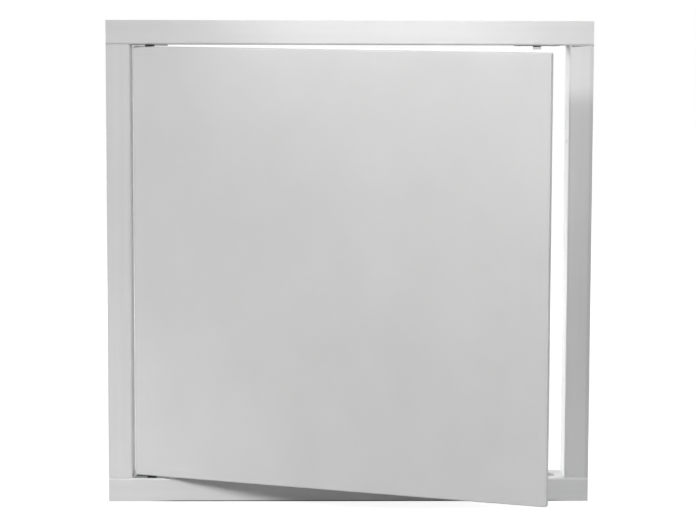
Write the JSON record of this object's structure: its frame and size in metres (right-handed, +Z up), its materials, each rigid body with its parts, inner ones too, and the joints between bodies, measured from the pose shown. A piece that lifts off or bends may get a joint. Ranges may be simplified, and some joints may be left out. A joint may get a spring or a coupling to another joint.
{
  "type": "access panel",
  "caption": "Square wall access panel: a folded sheet-steel angle frame with a flush plain door that swings on two pivot hinges and closes on magnetic catches.",
  "frame": {"origin": "middle of the bottom rail's back face, which bears on the wall", "axes": "+X to the right seen from the room, +Y into the wall, +Z up"},
  "size_m": [0.5, 0.1996, 0.5],
  "materials": {
    "white_powder_coat": "satin",
    "door_powder_coat": "satin",
    "zinc_plated_steel": "satin",
    "black_nylon": "matte",
    "nickel_magnet": "satin"
  },
  "bodies": {
    "frame": {"top_rail": "white_powder_coat", "bottom_rail": "white_powder_coat", "hinge_stile": "white_powder_coat", "catch_stile": "white_powder_coat", "upper_hinge_plate": "zinc_plated_steel", "upper_hinge_pin": "zinc_plated_steel", "upper_hinge_washer": "black_nylon", "upper_catch_bracket": "white_powder_coat", "upper_catch_magnet": "nickel_magnet", "lower_hinge_plate": "zinc_plated_steel", "lower_hinge_pin": "zinc_plated_steel", "lower_hinge_washer": "black_nylon", "lower_catch_bracket": "white_powder_coat", "lower_catch_magnet": "nickel_magnet"},
    "door": {"door_panel": "door_powder_coat", "upper_hinge_leaf": "zinc_plated_steel", "upper_strike_plate": "zinc_plated_steel", "lower_hinge_leaf": "zinc_plated_steel", "lower_strike_plate": "zinc_plated_steel"}
  },
  "joints": [
    {"name": "door_swing", "type": "hinge", "parent": "frame", "child": "door", "pos_m": [-0.205, 0.0024, 0.2375], "axis": [0, 0, -1], "range_deg": [-22, 98]}
  ]
}
